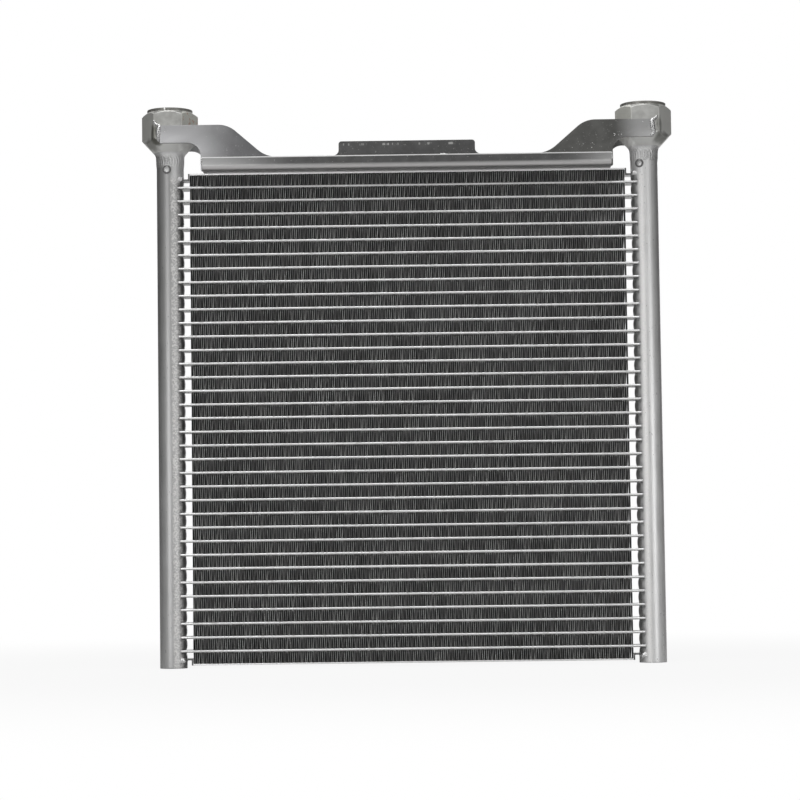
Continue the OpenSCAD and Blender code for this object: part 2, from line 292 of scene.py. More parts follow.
def roughen(tree, shader, height, depth, strength):
    """Feeds a height of 0 to 1 as a bump of that depth in metres."""
    inputs = {"Strength": strength, "Distance": depth, "Height": height}
    bump = add_node(tree, "ShaderNodeBump", None, inputs)
    tree.links.new(bump.output("Normal").socket, shader.inputs["Normal"])


def header_finish():
    finish, tree, shader, place = new_finish("satin_header_tube", (0.62, 0.63, 0.64), 0.42)
    streaks = grain(tree, place, 0.7 * MM, (1, 1, 60))
    clouds = grain(tree, place, 9 * MM, (1, 1, 2.5), 4)
    pores = grain(tree, place, 0.5 * MM, detail=2)
    shade = clouds.between(0.25, 0.8) * 0.55 + streaks.between(0.3, 0.75) * 0.45
    x, _, height = axes(tree, place)
    on_right = x > 0.0
    to_core = toward_core(x)
    duller = blend_colour(tree, shade, grey(0.47), grey(0.63))
    # The left tube is painted darker towards its top, as painted shade.
    top_shade = height.between(0.1, last_tube_z)
    duller = blend_colour(tree, top_shade * 0.5, duller, grey(0.32))
    brighter = blend_colour(tree, shade, grey(0.74), grey(0.98))
    # The right tube is painted darker on its outer side near the top, as painted shade.
    outer_top_shade = height.between(0.15, last_tube_z) * to_core.between(0.5 * MM, -3.0 * MM)
    brighter = blend_colour(tree, outer_top_shade * 0.3, brighter, grey(0.45))
    above_tubes = height.between(last_tube_z, last_tube_z + tube_pitch)
    core_side_brightening = to_core.between(-0.5 * MM, 5.0 * MM) * above_tubes * 0.8
    duller = blend_colour(tree, core_side_brightening, duller, grey(1.0))
    metal = blend_colour(tree, on_right, duller, brighter)
    pits = grain(tree, place, 1.3 * MM, (1, 1, 1.8), 2).between(0.69, 0.74)
    metal = blend_colour(tree, pits * 0.6, metal, grey(0.12))
    last_crumbs = 8.4 * MM - on_right * 2.4 * MM
    band = to_core.between(0.2 * MM, 1.8 * MM) * (to_core - last_crumbs).between(0.0, -1.6 * MM)
    band = band * height.between(last_tube_z + tube_pitch, last_tube_z + tube_pitch * 0.5)
    crumbs = grain(tree, place, 1.3 * MM, detail=4)
    flux = band * (crumbs.between(0.42, 0.60) * 0.72 + 0.28)
    feed(tree, shader, Base_Color=blend_colour(tree, flux * 0.85, metal, (0.92, 0.91, 0.90)))
    roughness = clouds * 0.14 + streaks * 0.10 + flux * 0.12 + core_side_brightening * 0.18 + 0.30
    feed(tree, shader, Roughness=roughness)
    roughen(tree, shader, streaks * 0.3 + pores * 0.2 + flux * 0.5, 0.06 * MM, 0.6)
    return finish


def add_piece(name, mesh, finish, slot, *replaced, sharp=32):
    """Puts a finished mesh into the scene as a piece of the cooler."""
    if isinstance(mesh, bmesh.types.BMesh):
        made = bpy.data.meshes.new(name)
        mesh.to_mesh(made)
        mesh.free()
        mesh = made
    mesh.materials.clear()
    mesh.materials.append(finish)
    mesh.polygons.foreach_set("use_smooth", [True] * len(mesh.polygons))
    mesh.set_sharp_from_angle(angle=math.radians(sharp))
    piece = bpy.data.objects.new(name, mesh)
    scene.collection.objects.link(piece)
    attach(piece, "root")
    if replaced:
        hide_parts(*replaced)


def slot_dimple(point, axis_x, toward):
    """How far the header's wall lies inside its round outline, at a point on its outside."""
    steps = (point.z - first_tube_z) / tube_pitch
    if not -0.5 <= steps <= TUBE_COUNT - 0.5:
        return 0.0
    off_slot = abs(2 * (steps % 1) - 1)
    angle = abs(math.atan2(point.y, toward * (point.x - axis_x)))
    edge = max(0.0, min(1.0, (SLOT_HALF_ANGLE - angle) / SLOT_BLEND_ANGLE))
    return SLOT_DIMPLE * off_slot**2.4 * edge * edge * (3 - 2 * edge)


def header_tube(side):
    low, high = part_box(f"{side}_header_pipe")
    radius = header_radius()
    inner_radius = radius - HEADER_WALL
    axis = Vector((header_axis(side), 0, 0))
    tall = high.z - low.z
    centre = (axis.x, 0, low.z + tall / 2)
    shell = bmesh.new()
    bmesh.ops.create_cone(
        shell, segments=HEADER_FACETS, radius1=radius, radius2=radius, depth=tall
    )
    uprights = [edge for edge in shell.edges if edge.calc_length() > tall / 2]
    rings = int(tall / HEADER_RING_STEP)
    bmesh.ops.subdivide_edges(shell, edges=uprights, cuts=rings, use_grid_fill=True)
    bmesh.ops.translate(shell, verts=shell.verts, vec=centre)
    for vert in shell.verts:
        inwards = (axis - vert.co) * Vector((1, 1, 0))
        vert.co += inwards.normalized() * slot_dimple(vert.co, axis.x, CORE_SIDE[side])
    outer_faces = set(shell.faces)
    inside = bmesh.ops.create_cone(
        shell, segments=HEADER_FACETS, radius1=inner_radius, radius2=inner_radius, depth=tall
    )
    bmesh.ops.translate(shell, verts=inside["verts"], vec=centre)
    inner_faces = [face for face in shell.faces if face not in outer_faces]
    bmesh.ops.reverse_faces(shell, faces=inner_faces)
    for z in (low.z, high.z):
        rims = [
            edge
            for edge in shell.edges
            if edge.is_boundary and abs(edge.verts[0].co.z - z) < 0.1 * MM
        ]
        bmesh.ops.bridge_loops(shell, edges=rims)
    bmesh.ops.recalc_face_normals(shell, faces=shell.faces)
    foot = [
        edge
        for edge in shell.edges
        if max(abs(vert.co.z - low.z) for vert in edge.verts) < SAME_PLACE
        and min((vert.co - axis).xy.length for vert in edge.verts) > inner_radius + HEADER_WALL / 2
    ]
    bmesh.ops.bevel(
        shell, geom=foot, offset=FOOT_CHAMFER, affect="EDGES", segments=2, profile=0.5, material=-1
    )
    return shell


satin_header = header_finish()
for side in CORE_SIDE:
    node = f"{side}_header_pipe"
    add_piece(f"{side}_header", header_tube(side), satin_header, "header_tube", node, sharp=50)

# ------------------------------------------------------------
# End caps: pressed aluminium cups, open downwards, brazed into the lower ends of the headers.
# They left the furnace with the headers' satin grey.
# ------------------------------------------------------------
def break_edges(shell, width, segments=2, sharp=35):
    """Rounds the edges that turn by more than that angle, as tumbling leaves them."""
    edges = [
        edge
        for edge in shell.edges
        if len(edge.link_faces) == 2 and edge.calc_face_angle(0) > math.radians(sharp)
    ]
    bmesh.ops.bevel(
        shell,
        geom=edges,
        offset=width,
        affect="EDGES",
        segments=segments,
        profile=0.5,
        material=-1,
        clamp_overlap=True,
    )


def softened(node, width, segments=2):
    """A copy of a sheet or pressed part with its sharp edges broken."""
    shell = bmesh.new()
    shell.from_mesh(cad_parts[node].data)
    bmesh.ops.remove_doubles(shell, verts=shell.verts, dist=SAME_PLACE)
    flat_enough = math.radians(0.5)
    bmesh.ops.dissolve_limit(shell, angle_limit=flat_enough, verts=shell.verts, edges=shell.edges)
    break_edges(shell, width, segments)
    return shell


for side in CORE_SIDE:
    node = f"{side}_end_cap"
    add_piece(f"{side}_cap", softened(node, 0.25 * MM), satin_header, "header_tube", node)

# ------------------------------------------------------------
# Test plugs: small turned aluminium plugs that close the leak-test hole near the top of each
# header. The head is nearly flush, and the groove around its middle is painted dark as painted
# shade.
# ------------------------------------------------------------
# Radius and height over the header's outside, in mm, from the head's middle to the shank's.
PLUG_PROFILE = (
    (0.0, 0.6),
    (1.5, 0.58),
    (2.0, 0.45),
    (2.2, 0.06),
    (2.85, 0.06),
    (3.0, 0.24),
    (3.2, 0.18),
    (3.2, -0.9),
    (0.0, -0.9),
)


def plug_centre(side):
    """Where the plug's axis meets the header's outside."""
    low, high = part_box(f"{side}_test_plug")
    axis = Vector((header_axis(side), 0, (low.z + high.z) / 2))
    outwards = (((low + high) / 2 - axis) * Vector((1, 1, 0))).normalized()
    return axis + outwards * header_radius()


def plug_finish(side):
    finish, tree, shader, place = new_finish(f"{side}_plug_head", grey(0.60), 0.36)
    reach = vector_math(tree, "DISTANCE", place, plug_centre(side), output="Value")
    # The groove is painted nearly black, as painted shade.
    groove_shade = reach.between(1.9 * MM, 2.3 * MM) * reach.between(3.5 * MM, 3.1 * MM)
    scratches = grain(tree, place, 0.5 * MM, detail=3)
    metal = blend_colour(tree, scratches.between(0.3, 0.7), grey(0.44), grey(0.76))
    feed(tree, shader, Base_Color=blend_colour(tree, groove_shade * 0.8, metal, grey(0.08)))
    feed(tree, shader, Roughness=scratches * 0.2 + 0.28)
    return finish


def spin_outline(shell, outline, steps, closed=True):
    """Turns an outline of radius and height once around Z. An open one runs from axis to axis."""
    verts = [shell.verts.new((reach, 0, z)) for reach, z in outline]
    followers = verts[1:] + (verts[:1] if closed else [])
    edges = [shell.edges.new(pair) for pair in zip(verts, followers)]
    bmesh.ops.spin(
        shell,
        geom=verts + edges,
        cent=(0, 0, 0),
        axis=(0, 0, 1),
        angle=math.tau,
        steps=steps,
        use_merge=True,
    )
    bmesh.ops.remove_doubles(shell, verts=shell.verts, dist=SAME_PLACE)
    bmesh.ops.recalc_face_normals(shell, faces=shell.faces)


def test_plug(side):
    seat = plug_centre(side)
    outwards = ((seat - Vector((header_axis(side), 0, 0))) * Vector((1, 1, 0))).normalized()
    shell = bmesh.new()
    spin_outline(shell, [(reach * MM, rise * MM) for reach, rise in PLUG_PROFILE], 40, closed=False)
    turn = outwards.to_track_quat("Z", "Y").to_matrix().to_4x4()
    bmesh.ops.transform(shell, matrix=Matrix.Translation(seat) @ turn, verts=shell.verts)
    return shell


for side in CORE_SIDE:
    node = f"{side}_test_plug"
    add_piece(f"{side}_plug", test_plug(side), plug_finish(side), "header_tube", node)

# ------------------------------------------------------------
# Flat tubes: extruded aluminium with round noses and rows of small channels inside. They are
# brighter than the rest, with faint lengthwise lines and dull spots of brazing flux.
# ------------------------------------------------------------
def tube_finish():
    finish, tree, shader, place = new_finish("extruded_flat_tube", (0.78, 0.78, 0.79), 0.36, 0.85)
    lines = grain(tree, place, 0.4 * MM, (80, 1, 1))
    spots = grain(tree, place, 2.6 * MM, (1.6, 1, 1), 4)
    dull = spots.between(0.55, 0.68)
    metal = blend_colour(tree, dull * 0.45, grey(0.96), (0.62, 0.62, 0.61))
    x, depth, height = axes(tree, place)
    bare_end = abs(x).between(fin_half - 0.5 * MM, fin_half + 1.0 * MM)
    pitches = (height - first_tube_z) * (1 / tube_pitch) + 0.5
    under = (pitches - pitches.floor()).between(0.48, 0.43)
    nose = abs(depth).between(core_depth / 2 - 1.3 * MM, core_depth / 2 - 0.8 * MM)
    # Below the nose of each tube, where it crosses the gap at the header, mottled painted shade.
    shade_mottle = grain(tree, place, 1.3 * MM, detail=3).between(0.35, 0.6)
    metal = blend_colour(tree, bare_end, metal, grey(1.0))
    nose_underside_shade = bare_end * under * nose * (shade_mottle * 0.6 + 0.3)
    feed(tree, shader, Base_Color=blend_colour(tree, nose_underside_shade, metal, (0.25, 0.25, 0.24)))
    feed(tree, shader, Roughness=dull * 0.22 + lines * 0.12 + 0.28)
    roughen(tree, shader, lines * 0.5 + spots * 0.5, 0.02 * MM, 0.5)
    return finish


extruded = tube_finish()
for number in range(1, TUBE_COUNT + 1):
    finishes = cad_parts[f"flat_tube_{number:02d}"].data.materials
    finishes.clear()
    finishes.append(extruded)

# ------------------------------------------------------------
# Braze fillets: where a flat tube enters a header, the clad layer has melted and drawn into a
# thin bright ring around the tube.
# ------------------------------------------------------------
FILLET_RADIUS = 0.42 * MM
NOSE_STEPS = 6
FLAT_STEPS = 9


def braze_finish(name, dull, bright):
    finish, tree, shader, place = new_finish(name, bright, 0.34)
    beads = grain(tree, place, 1.1 * MM, detail=4)
    feed(tree, shader, Base_Color=blend_colour(tree, beads.between(0.3, 0.7), dull, bright))
    feed(tree, shader, Roughness=beads * 0.3 + 0.18)
    roughen(tree, shader, beads, 0.08 * MM, 0.7)
    return finish


def mesh_of_curve(curve):
    """Turns a round-bodied curve into one closed mesh, and drops the curve."""
    holder = bpy.data.objects.new(curve.name, curve)
    scene.collection.objects.link(holder)
    shaped = holder.evaluated_get(bpy.context.evaluated_depsgraph_get())
    mesh = bpy.data.meshes.new_from_object(shaped)
    bpy.data.objects.remove(holder)
    bpy.data.curves.remove(curve)
    shell = bmesh.new()
    shell.from_mesh(mesh)
    bpy.data.meshes.remove(mesh)
    bmesh.ops.remove_doubles(shell, verts=shell.verts, dist=SAME_PLACE)
    bmesh.ops.recalc_face_normals(shell, faces=shell.faces)
    return shell


def round_body(name, radius, sides):
    """A curve whose body is round. Its splines are laid afterwards."""
    curve = bpy.data.curves.new(name, "CURVE")
    curve.dimensions = "3D"
    curve.bevel_depth = radius
    curve.bevel_resolution = sides
    curve.use_fill_caps = True
    return curve


def lay_spline(curve, points, swell, closed=False):
    """Lays one strand through the points. swell scales its radius at each of them."""
    spline = curve.splines.new("POLY")
    spline.points.add(len(points) - 1)
    for laid, point, scale in zip(spline.points, points, swell):
        laid.co = (*point, 1)
        laid.radius = scale
    spline.use_cyclic_u = closed


def section_outline(width, thickness):
    """Points around a flat tube's section, in Y and Z, with round noses."""
    nose = thickness / 2
    straight = width / 2 - nose
    points = []
    for end in (1, -1):
        for step in range(NOSE_STEPS + 1):
            turn = math.pi * step / NOSE_STEPS - math.pi / 2
            points.append((end * (straight + nose * math.cos(turn)), end * nose * math.sin(turn)))
        for step in range(1, FLAT_STEPS):
            points.append((end * straight * (1 - 2 * step / FLAT_STEPS), end * nose))
    return points


def tube_fillets(side):
    axis_x = header_axis(side)
    radius = header_radius()
    toward = CORE_SIDE[side]
    curve = round_body(f"{side}_fillets", FILLET_RADIUS, 1)
    for number in range(TUBE_COUNT):
        tube_z = first_tube_z + number * tube_pitch
        loop = []
        for y, rise in section_outline(core_depth, tube_thickness):
            point = Vector((axis_x + toward * math.sqrt(radius**2 - y**2), y, tube_z + rise))
            point.x -= toward * slot_dimple(point, axis_x, toward)
            loop.append(point)
        swell = [1 + 0.3 * noise.noise(point / (1.5 * MM)) for point in loop]
        lay_spline(curve, loop, swell, closed=True)
    return mesh_of_curve(curve)


braze_metal = braze_finish("braze_metal", grey(0.44), grey(0.76))
for side in CORE_SIDE:
    add_piece(f"{side}_tube_fillets", tube_fillets(side), braze_metal, "weld_bead", sharp=60)

# ------------------------------------------------------------
# Fins: thin aluminium foil, folded up and down between each two flat tubes, and waved from
# front to back so that the air has to turn. The foil is dull and painted dark between the tubes, as
# painted shade, and its cut front edge keeps a lighter grey. Handling has bent some of the folds a
# little.
# ------------------------------------------------------------
LEG_SPACING = 1.57 * MM
FOIL = 0.16 * MM
CREST_HALF = 0.36 * MM
FOLD_HALF = 0.60 * MM
FOLD_RISE = 0.28 * MM
LONGEST_BEND = 0.2 * MM
WAVE_STEPS = 4
WAVE_SHIFT = 2.1 * MM
WAVE_FADE = 2.5 * MM


def fin_finish():
    finish, tree, shader, place = new_finish("fin_foil", (0.16, 0.16, 0.165), 0.5, 0.6)
    x, depth, height = axes(tree, place)
    leg = (x * (1 / LEG_SPACING)).floor()
    row = (height * (1 / tube_pitch)).floor()
    leg_and_row = add_node(tree, "ShaderNodeCombineXYZ", None, [leg, row, 0.0])
    plane = {"noise_dimensions": "2D"}
    chance = add_node(tree, "ShaderNodeTexWhiteNoise", plane, {"Vector": leg_and_row})
    lively = chance.between(0.0, 1.0)
    bright_edge = abs(depth).between(core_depth / 2 - 0.35 * MM, core_depth / 2 - 0.12 * MM)
    foil_blotches = grain(tree, place, 14 * MM, detail=4).between(0.3, 0.75)
    # The foil is painted dark as painted shade, in blotches; its front edge keeps a lighter grey
    # per leg.
    painted_shade_grey = blend_colour(tree, foil_blotches, (0.14, 0.14, 0.135), grey(0.21))
    edge_grey = blend_colour(tree, lively, grey(0.34), (0.82, 0.82, 0.81))
    feed(tree, shader, Base_Color=blend_colour(tree, bright_edge, painted_shade_grey, edge_grey))
    feed(tree, shader, Roughness=foil_blotches * 0.2 + 0.38)
    return finish


def fin_strip(row, low_z, high_z):
    half = fin_half - FOIL
    folds = round(2 * (half - FOLD_HALF) / LEG_SPACING)
    spacing = 2 * (half - FOLD_HALF) / folds
    lower_z, upper_z = low_z + FOIL / 2, high_z - FOIL / 2
    outline = [(-half, lower_z if row % 2 else upper_z)]
    for fold in range(folds + 1):
        x = -half + FOLD_HALF + fold * spacing
        if 0 < fold < folds:
            x += LONGEST_BEND * noise.noise((fold * 0.71, row * 3.1, 0.5))
        up = (fold + row) % 2
        crest_z = upper_z if up else lower_z
        fold_z = crest_z + (-FOLD_RISE if up else FOLD_RISE)
        outline += [
            (x - FOLD_HALF, fold_z),
            (x - CREST_HALF, crest_z),
            (x + CREST_HALF, crest_z),
            (x + FOLD_HALF, fold_z),
        ]
    outline.append((half, lower_z if up else upper_z))
    shell = bmesh.new()
    fold_line = [shell.verts.new((x, -core_depth / 2, z)) for x, z in outline]
    edges = [shell.edges.new(pair) for pair in zip(fold_line, fold_line[1:])]
    for _ in range(WAVE_STEPS):
        grown = bmesh.ops.extrude_edge_only(shell, edges=edges)["geom"]
        far = {item for item in grown if isinstance(item, bmesh.types.BMVert)}
        grown_edges = [item for item in grown if isinstance(item, bmesh.types.BMEdge)]
        edges = [edge for edge in grown_edges if far.issuperset(edge.verts)]
        bmesh.ops.translate(shell, verts=list(far), vec=(0, core_depth / WAVE_STEPS, 0))
    for vert in shell.verts:
        if round((vert.co.y / core_depth + 0.5) * WAVE_STEPS) % 2:
            vert.co.x -= WAVE_SHIFT * min(1.0, (fin_half - abs(vert.co.x)) / WAVE_FADE)
    bmesh.ops.recalc_face_normals(shell, faces=shell.faces)
    bmesh.ops.solidify(shell, geom=shell.faces[:], thickness=FOIL)
    return shell


dark_foil = fin_finish()
banks = ("fin_strips_lower", "fin_strips_middle", "fin_strips_upper")
strips_in_bank = math.ceil((TUBE_COUNT + 1) / len(banks))
for row in range(TUBE_COUNT + 1):
    low_z = first_tube_z + (row - 1) * tube_pitch + tube_thickness / 2
    high_z = low_z + tube_pitch - tube_thickness
    bank = banks[row // strips_in_bank]
    strip = fin_strip(row, low_z, high_z)
    add_piece(f"fin_strip_{row + 1:02d}", strip, dark_foil, "fin_foil", bank, sharp=25)

# ------------------------------------------------------------
# Side plates: sheared aluminium sheet over the first and the last fins. Their ends step
# towards the core and enter the headers, where a lump of braze metal holds them.
# ------------------------------------------------------------
TONGUE_HALF = 6.0 * MM
TONGUE_MIDDLE = 0.55 * MM
LUMP_SHIFT = 0.7 * MM
LUMP_SHAPE = Vector((2.5, 1.7, 1.8)) * MM


def plate_finish():
    finish, tree, shader, place = new_finish("side_plate_sheet", (0.70, 0.70, 0.71), 0.38)
    lines = grain(tree, place, 0.5 * MM, (50, 1, 1))
    stains = grain(tree, place, 7 * MM, (3, 1, 1), 4)
    metal = blend_colour(tree, stains.between(0.35, 0.75), grey(0.70), grey(0.84))
    x, depth, _ = axes(tree, place)
    long_edge = abs(depth).between(core_depth / 2 - 0.5 * MM, core_depth / 2 - 0.2 * MM)
    metal = blend_colour(tree, long_edge, metal, grey(1.0))
    stepped_end = abs(x).between(fin_half - 0.2 * MM, fin_half + 0.4 * MM)
    metal = blend_colour(tree, stepped_end, metal, grey(1.0))
    # The tongues' front and rear edges are painted nearly black, as painted shade.
    tongue_edge_shade = abs(depth).between(TONGUE_HALF - 0.6 * MM, TONGUE_HALF - 0.3 * MM) * stepped_end
    metal = blend_colour(tree, tongue_edge_shade * 0.95, metal, grey(0.10))
    feed(tree, shader, Base_Color=metal)
    feed(tree, shader, Roughness=stains * 0.2 + lines * 0.1 + 0.26)
    roughen(tree, shader, lines, 0.02 * MM, 0.5)
    return finish


sheared_plate = plate_finish()
for node in ("top_side_plate", "bottom_side_plate"):
    add_piece(f"{node}_sheet", softened(node, 0.12 * MM), sheared_plate, "core_sheet", node)


def add_drop(shell, place, stretch, subdivisions=2):
    """Adds a ball drawn out to that shape, and gives its corners."""
    grown = bmesh.ops.create_icosphere(shell, subdivisions=subdivisions, radius=1.0)
    shape = Matrix.Translation(place) @ Matrix.Diagonal((*stretch, 1))
    bmesh.ops.transform(shell, matrix=shape, verts=grown["verts"])
    return grown["verts"]


def tongue_braze():
    """A small lump of braze metal at each of the four tongues, front and rear."""
    top_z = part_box("top_side_plate")[0].z + TONGUE_MIDDLE
    bottom_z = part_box("bottom_side_plate")[1].z - TONGUE_MIDDLE
    # The tongue's height, which way is outwards, the lump's distance to the front, and its size.
    lumps = ((top_z, 1, 6.6 * MM, 1.0), (bottom_z, -1, 7.4 * MM, 1.15))
    shell = bmesh.new()
    for side in (-1, 1):
        for z, outwards, lump_y, size in lumps:
            reach = math.sqrt(header_radius() ** 2 - lump_y**2)
            x = side * (header_axis("right") - reach)
            for front in (-1, 1):
                place = Vector((x, front * lump_y, z + outwards * size * LUMP_SHIFT))
                for vert in add_drop(shell, place, LUMP_SHAPE * size, 3):
                    vert.co += (vert.co - place) * 0.35 * noise.noise(vert.co / (1.1 * MM))
    return shell


fresh_braze = braze_finish("fresh_braze", grey(0.72), grey(1.0))
add_piece("tongue_braze", tongue_braze(), fresh_braze, "weld_bead", sharp=80)

# ------------------------------------------------------------
# Port fittings: turned from hexagonal aluminium bar, with a cone below, a sealing collar on top
# and a fine metric thread inside. Each is welded over the upper end of its header.
# ------------------------------------------------------------
FLATS_HALF = 18.0 * MM
HEX_HEIGHT = 20.6 * MM
CONE_HEIGHT = 9.5 * MM
CONE_FOOT = 12.05 * MM
CHAMFER_WIDTH = 4.0 * MM
CHAMFER_HEIGHT = 3.0 * MM
COLLAR_RADIUS = 16.7 * MM
COLLAR_HEIGHT = 1.9 * MM
UNDERCUT = 0.45 * MM
THREAD_CREST = 12.4 * MM
THREAD_ROOT = 13.5 * MM
THREAD_PITCH = 2.0 * MM
THREAD_DEPTH = 18.0 * MM
THREAD_STEPS = 60
LEAD_IN_WIDTH = 0.5 * MM
LEAD_IN_DEPTH = 0.9 * MM
OIL_BORE = 8.0 * MM
DRILL_POINT = 3.0 * MM
SOCKET_DEPTH = 6.0 * MM
SOCKET_GAP = 0.05 * MM

hex_corner = FLATS_HALF / math.cos(math.pi / 6)
port_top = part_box("left_port_fitting")[1].z
collar_z = port_top - COLLAR_HEIGHT
hex_z = collar_z - HEX_HEIGHT
neck_z = hex_z - CONE_HEIGHT


def soot_and_shade_cloud(tree, place, stains, centre, shrink):
    """Weld soot and painted shade: 1 at the centre to 0 outside, ragged, and drawn out where shrink
    is small.
    """
    offset = vector_math(tree, "MULTIPLY", vector_math(tree, "SUBTRACT", place, centre), shrink)
    away = vector_math(tree, "LENGTH", offset, output="Value")
    return (away + stains * 4 * MM).between(6.2 * MM, 3.6 * MM)


def fitting_finish():
    finish, tree, shader, place = new_finish("machined_fitting", grey(0.6), 0.36)
    x, _, height = axes(tree, place)
    on_right = x > 0.0
    drawn = grain(tree, place, 0.45 * MM, (1, 1, 40))
    turned = grain(tree, place, 0.30 * MM, (60, 60, 1))
    on_hexagon = height.between(hex_z - 0.5 * MM, hex_z + 0.5 * MM)
    on_hexagon = on_hexagon * height.between(collar_z, collar_z - 0.4 * MM)
    lines = turned + on_hexagon * (drawn - turned)
    stains = grain(tree, place, 6 * MM, detail=5)
    metal = blend_colour(tree, stains.between(0.3, 0.75), (0.48, 0.48, 0.46), (0.66, 0.66, 0.64))
    metal = blend_colour(tree, on_right * 0.18, metal, (1.0, 1.0, 0.98))
    inwards = toward_core(x)
    # The hexagon's side faces are painted lighter than its front flats, as painted light; the left
    # inner face also has reddish specks.
    inner_faces = inwards.between(9.8 * MM, 10.8 * MM)
    outer_faces = inwards.between(-9.8 * MM, -10.8 * MM)
    specks = grain(tree, place, 2.4 * MM, detail=4).between(0.54, 0.64) * (x < 0.0)
    inner_face_light_and_specks = blend_colour(tree, specks, (1.0, 1.0, 0.94), (0.86, 0.72, 0.62))
    metal = blend_colour(tree, inner_faces, metal, inner_face_light_and_specks)
    outer_face_painted_light = blend_colour(tree, on_right, (0.74, 0.74, 0.71), (0.90, 0.90, 0.87))
    metal = blend_colour(tree, outer_faces, metal, outer_face_painted_light)
    cone = height.between(hex_z + 0.3 * MM, hex_z - 0.3 * MM)
    metal = blend_colour(tree, cone, metal, (0.86, 0.86, 0.84))
    # A painted highlight on the chamfer just below the collar.
    rim = height.between(collar_z - 1.3 * MM, collar_z - 0.7 * MM)
    metal = blend_colour(tree, rim * 0.8, metal, (0.90, 0.90, 0.88))
    mirrored = vector_math(tree, "ABSOLUTE", place)
    axis_x = header_axis("right")
    ear_end = (axis_x + 10.2 * MM, FLATS_HALF - 1.0 * MM, hex_z + 3.0 * MM)
    weld_foot = (axis_x + 8.2 * MM, FLATS_HALF - 2.6 * MM, hex_z - 2.8 * MM)
    outer_cone_shade_centre = (axis_x + 12.5 * MM, FLATS_HALF - 8.0 * MM, hex_z - 4.5 * MM)
    # Weld soot beside the bead, darker at the weld's foot, and painted shade on the cone's outer
    # side.
    upright = soot_and_shade_cloud(tree, mirrored, stains, ear_end, (1, 1, 0.40))
    smear = soot_and_shade_cloud(tree, mirrored, stains, weld_foot, (0.62, 1, 1))
    outer_cone_shade = soot_and_shade_cloud(tree, mirrored, stains, outer_cone_shade_centre, (0.40, 0.40, 0.70))
    free_of_soot_and_shade = 1.0 - upright * (0.80 - on_right * 0.25)
    free_of_soot_and_shade = free_of_soot_and_shade * (1.0 - smear * (0.85 - on_right * 0.65)) * (1.0 - outer_cone_shade * 0.62)
    metal = blend_colour(tree, free_of_soot_and_shade, (0.12, 0.12, 0.10), metal)
    # A narrow painted highlight on the left collar.
    collar_glint = abs(x - (header_axis("left") - 2.4 * MM)) < 0.45 * MM
    collar_and_glint = blend_colour(tree, collar_glint, (0.20, 0.19, 0.17), (0.95, 0.95, 0.93))
    collar = height.between(collar_z + 0.1 * MM, collar_z + 0.3 * MM)
    feed(tree, shader, Base_Color=blend_colour(tree, collar * 0.8, metal, collar_and_glint))
    side_faces = inner_faces + outer_faces
    feed(tree, shader, Roughness=lines * 0.14 + stains * 0.12 + side_faces * 0.16 + 0.26)
    roughen(tree, shader, lines, 0.03 * MM, 0.6)
    return finish


def port_fitting(side):
    """Turned as a round piece first, a little past its corners, then cut to six flats."""
    socket = header_radius() + SOCKET_GAP
    past = 0.5 * MM
    cone_slope = CONE_HEIGHT / (hex_corner - CONE_FOOT)
    chamfer_slope = CHAMFER_HEIGHT / CHAMFER_WIDTH
    thread_floor = port_top - THREAD_DEPTH
    outline = [
        (CONE_FOOT, neck_z),
        (hex_corner + past, hex_z + past * cone_slope),
        (hex_corner + past, collar_z - CHAMFER_HEIGHT - past * chamfer_slope),
        (COLLAR_RADIUS - UNDERCUT, collar_z),
        (COLLAR_RADIUS - UNDERCUT, collar_z + UNDERCUT),
        (COLLAR_RADIUS, collar_z + UNDERCUT),
        (COLLAR_RADIUS, port_top),
        (THREAD_ROOT + LEAD_IN_WIDTH, port_top),
        (THREAD_ROOT, port_top - LEAD_IN_DEPTH),
        (THREAD_ROOT, thread_floor),
        (OIL_BORE, thread_floor - DRILL_POINT),
        (OIL_BORE, neck_z + SOCKET_DEPTH),
        (socket, neck_z + SOCKET_DEPTH),
        (socket, neck_z),
    ]
    shell = bmesh.new()
    spin_outline(shell, outline, 144)
    for flat in range(6):
        turn = math.radians(30 + 60 * flat)
        facing = Vector((math.cos(turn), math.sin(turn), 0))
        cut = bmesh.ops.bisect_plane(
            shell,
            geom=shell.verts[:] + shell.edges[:] + shell.faces[:],
            dist=SAME_PLACE / 10,
            plane_co=facing * FLATS_HALF,
            plane_no=facing,
            clear_outer=True,
        )
        rim = [item for item in cut["geom_cut"] if isinstance(item, bmesh.types.BMEdge)]
        bmesh.ops.edgeloop_fill(shell, edges=rim)
    bmesh.ops.recalc_face_normals(shell, faces=shell.faces)
    break_edges(shell, 0.25 * MM, sharp=25)
    bmesh.ops.translate(shell, verts=shell.verts, vec=(header_axis(side), 0, 0))
    return shell


def port_thread(side):
    """The thread's ridge, as one closed helix whose root lies inside the bore's wall."""
    turns = int((THREAD_DEPTH - 2.5 * MM) / THREAD_PITCH)
    start_z = port_top - THREAD_DEPTH + 1.0 * MM
    root = THREAD_ROOT + 0.1 * MM
    root_half, crest_half = 0.46 * THREAD_PITCH, 0.07 * THREAD_PITCH
    section = (
        (root, -root_half),
        (THREAD_CREST, -crest_half),
        (THREAD_CREST, crest_half),
        (root, root_half),
    )
    shell = bmesh.new()
    verts = [shell.verts.new((reach, 0, start_z + rise)) for reach, rise in section]
    first = shell.faces.new(verts)
    bmesh.ops.spin(
        shell,
        geom=[first] + first.edges[:] + verts,
        cent=(0, 0, 0),
        axis=(0, 0, 1),
        dvec=(0, 0, THREAD_PITCH / THREAD_STEPS),
        angle=math.tau * turns,
        steps=THREAD_STEPS * turns,
    )
    bmesh.ops.remove_doubles(shell, verts=shell.verts, dist=SAME_PLACE)
    bmesh.ops.recalc_face_normals(shell, faces=shell.faces)
    bmesh.ops.translate(shell, verts=shell.verts, vec=(header_axis(side), 0, 0))
    return shell


